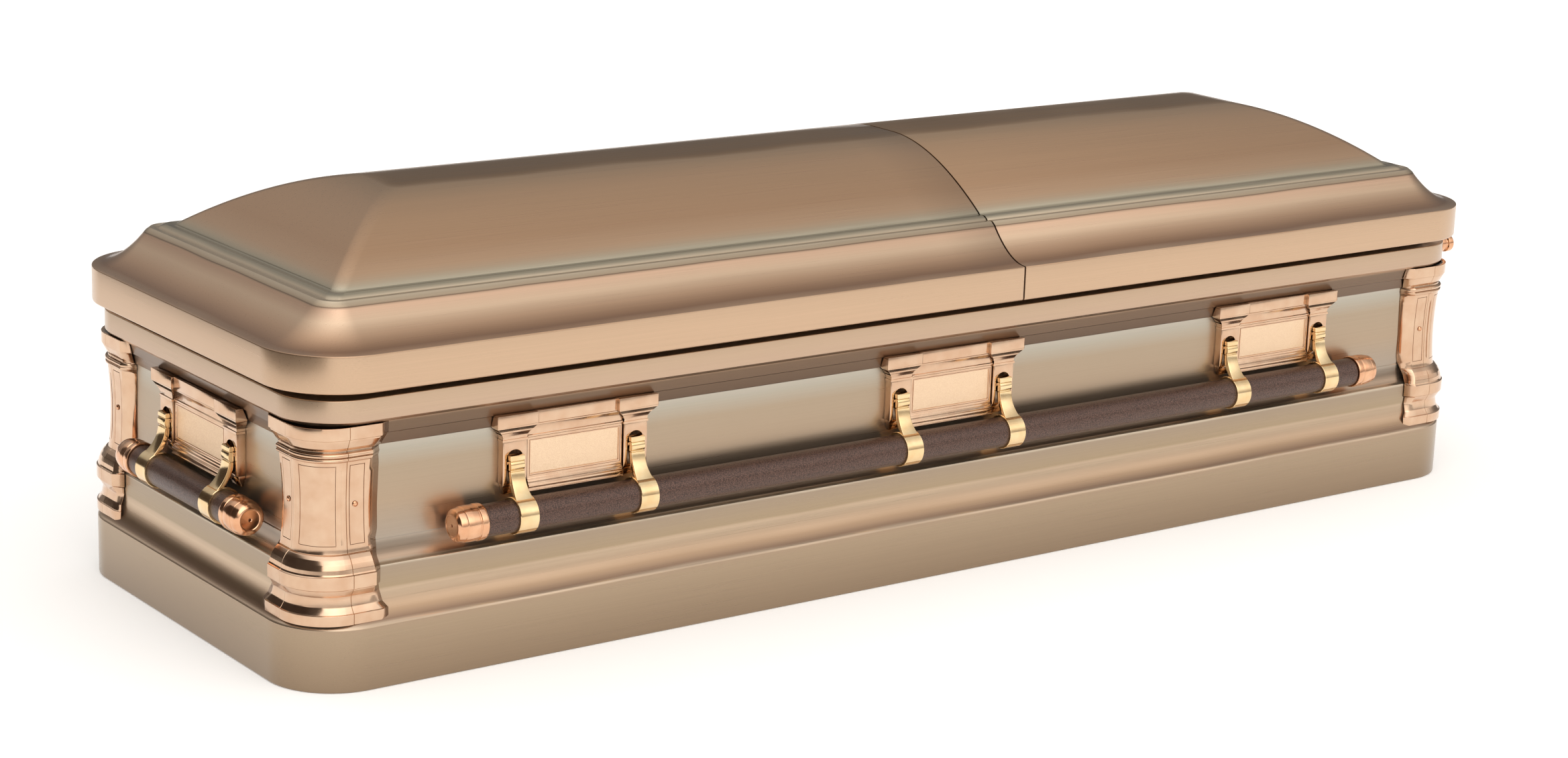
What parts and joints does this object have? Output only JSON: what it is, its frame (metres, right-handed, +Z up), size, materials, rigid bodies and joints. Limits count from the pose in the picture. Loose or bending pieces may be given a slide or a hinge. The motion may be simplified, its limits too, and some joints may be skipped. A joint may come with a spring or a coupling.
{
  "type": "funeral casket",
  "caption": "Metal half-couch funeral casket: moulded sheet body, domed lid in two hinged panels, corner castings and swing-bar handles on every side.",
  "frame": {"origin": "middle of the footprint, on the ground under the base", "axes": "+X towards the foot end, -Y towards the front long side that opens, +Z up"},
  "size_m": [2.131, 0.707, 0.5833],
  "materials": {
    "champagne_body_metal": "satin brushed champagne bronze under clear lacquer",
    "rose_gold_casting": "polished pale rose-gold plate with a stippled insert",
    "yellow_gold_arm": "polished yellow-gold plate",
    "dark_grained_bar": "dark brown pebble-grained coating",
    "copper_tip": "polished copper plate"
  },
  "bodies": {
    "shell": {"body_shell": "champagne_body_metal", "casting_screw_back_foot_a": "rose_gold_casting", "casting_screw_back_foot_b": "rose_gold_casting", "casting_screw_back_head_a": "rose_gold_casting", "casting_screw_back_head_b": "rose_gold_casting", "casting_screw_front_foot_a": "rose_gold_casting", "casting_screw_front_foot_b": "rose_gold_casting", "casting_screw_front_head_a": "rose_gold_casting", "casting_screw_front_head_b": "rose_gold_casting", "corner_casting_back_foot": "rose_gold_casting", "corner_casting_back_head": "rose_gold_casting", "corner_casting_front_foot": "rose_gold_casting", "corner_casting_front_head": "rose_gold_casting", "lock_port": "copper_tip", "lug_plate_back_1": "rose_gold_casting", "lug_plate_back_2": "rose_gold_casting", "lug_plate_back_3": "rose_gold_casting", "lug_plate_foot": "rose_gold_casting", "lug_plate_front_1": "rose_gold_casting", "lug_plate_front_2": "rose_gold_casting", "lug_plate_front_3": "rose_gold_casting", "lug_plate_head": "rose_gold_casting"},
    "head_panel": {"head_lid": "champagne_body_metal"},
    "foot_panel": {"foot_lid": "champagne_body_metal"},
    "front_handle": {"bar_tip_front_1": "copper_tip", "bar_tip_front_2": "copper_tip", "handle_arm_front_1": "yellow_gold_arm", "handle_arm_front_2": "yellow_gold_arm", "handle_arm_front_3": "yellow_gold_arm", "handle_arm_front_4": "yellow_gold_arm", "handle_arm_front_5": "yellow_gold_arm", "handle_arm_front_6": "yellow_gold_arm", "handle_bar_front": "dark_grained_bar"},
    "back_handle": {"bar_tip_back_1": "copper_tip", "bar_tip_back_2": "copper_tip", "handle_arm_back_1": "yellow_gold_arm", "handle_arm_back_2": "yellow_gold_arm", "handle_arm_back_3": "yellow_gold_arm", "handle_arm_back_4": "yellow_gold_arm", "handle_arm_back_5": "yellow_gold_arm", "handle_arm_back_6": "yellow_gold_arm", "handle_bar_back": "dark_grained_bar"},
    "head_handle": {"bar_tip_head_1": "copper_tip", "bar_tip_head_2": "copper_tip", "handle_arm_head_1": "yellow_gold_arm", "handle_arm_head_2": "yellow_gold_arm", "handle_bar_head": "dark_grained_bar"},
    "foot_handle": {"bar_tip_foot_1": "copper_tip", "bar_tip_foot_2": "copper_tip", "handle_arm_foot_1": "yellow_gold_arm", "handle_arm_foot_2": "yellow_gold_arm", "handle_bar_foot": "dark_grained_bar"}
  },
  "joints": [
    {"name": "head_lid_hinge", "type": "hinge", "parent": "shell", "child": "head_panel", "pos_m": [-0.476, 0.331, 0.3857], "axis": [-1, 0, 0], "range_deg": [0, 85]},
    {"name": "foot_lid_hinge", "type": "hinge", "parent": "shell", "child": "foot_panel", "pos_m": [0.577, 0.331, 0.3857], "axis": [-1, 0, 0], "range_deg": [0, 85]},
    {"name": "front_handle_swing", "type": "hinge", "parent": "shell", "child": "front_handle", "pos_m": [0, -0.3115, 0.263], "axis": [-1, 0, 0], "range_deg": [0, 85]},
    {"name": "back_handle_swing", "type": "hinge", "parent": "shell", "child": "back_handle", "pos_m": [0, 0.3115, 0.263], "axis": [1, 0, 0], "range_deg": [0, 85]},
    {"name": "head_handle_swing", "type": "hinge", "parent": "shell", "child": "head_handle", "pos_m": [-1.0235, 0, 0.263], "axis": [0, 1, 0], "range_deg": [0, 85]},
    {"name": "foot_handle_swing", "type": "hinge", "parent": "shell", "child": "foot_handle", "pos_m": [1.0235, 0, 0.263], "axis": [0, -1, 0], "range_deg": [0, 85]}
  ]
}
